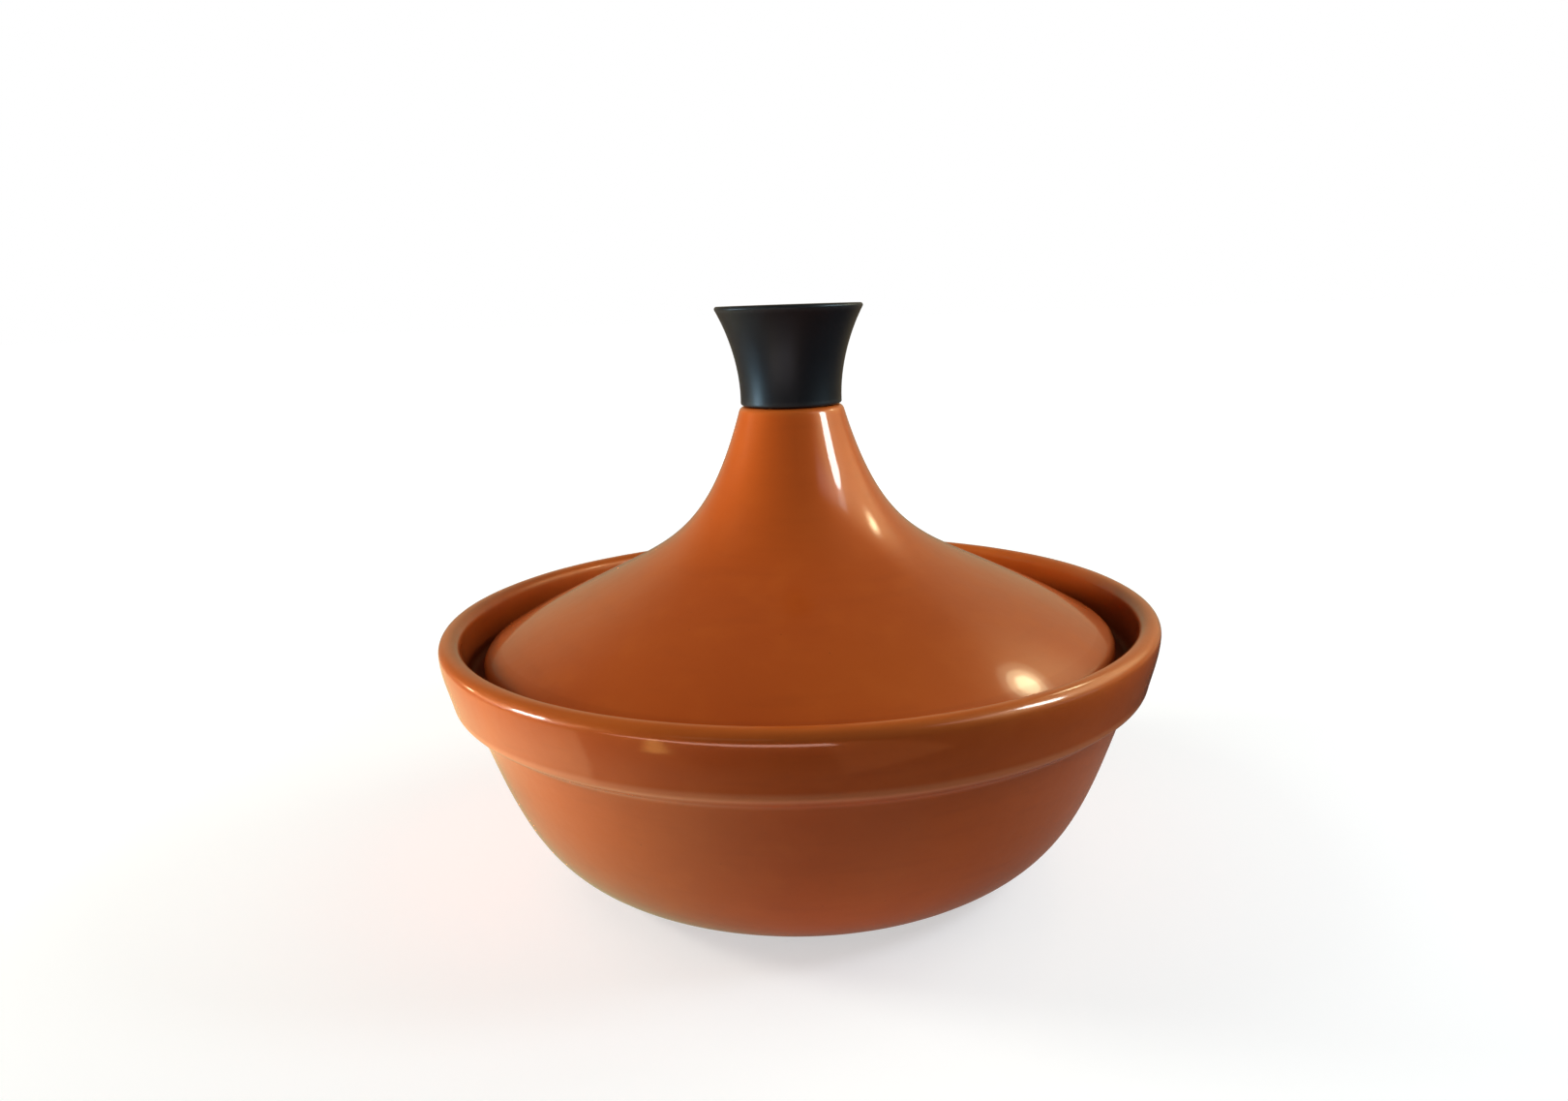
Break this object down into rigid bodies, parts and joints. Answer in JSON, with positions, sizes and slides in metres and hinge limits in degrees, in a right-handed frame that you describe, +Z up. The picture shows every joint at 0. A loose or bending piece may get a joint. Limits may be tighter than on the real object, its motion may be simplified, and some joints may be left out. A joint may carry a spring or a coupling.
{
  "type": "tagine",
  "caption": "Round glazed stoneware tagine: a base bowl with a raised collar and an inner seat ledge, and a lift-off trumpet-shaped lid with a flared black knob screwed to its neck.",
  "frame": {"origin": "middle of the foot, on the surface that the bowl stands on", "axes": "+Z up along the axis that every piece is turned about, +X to the right and +Y away from the viewer"},
  "size_m": [0.28, 0.28, 0.2166],
  "materials": {
    "glazed_stoneware": "glossy terracotta-orange glaze, thinner and lighter over the edges",
    "black_phenolic": "satin black moulding",
    "turned_brass": "turned",
    "plated_steel": "bright zinc plate",
    "dark_silicone": "matt"
  },
  "bodies": {
    "base": {"base_bowl": "glazed_stoneware"},
    "lid_assembly": {"lid": "glazed_stoneware", "knob": "black_phenolic", "knob_gasket": "dark_silicone", "knob_insert": "turned_brass", "knob_screw": "plated_steel", "screw_washer": "plated_steel", "inner_seal": "dark_silicone"}
  },
  "joints": [
    {"name": "lid_lift", "type": "slide", "parent": "base", "child": "lid_assembly", "axis": [0, 0, 1], "range_m": [0, 0.25]}
  ]
}
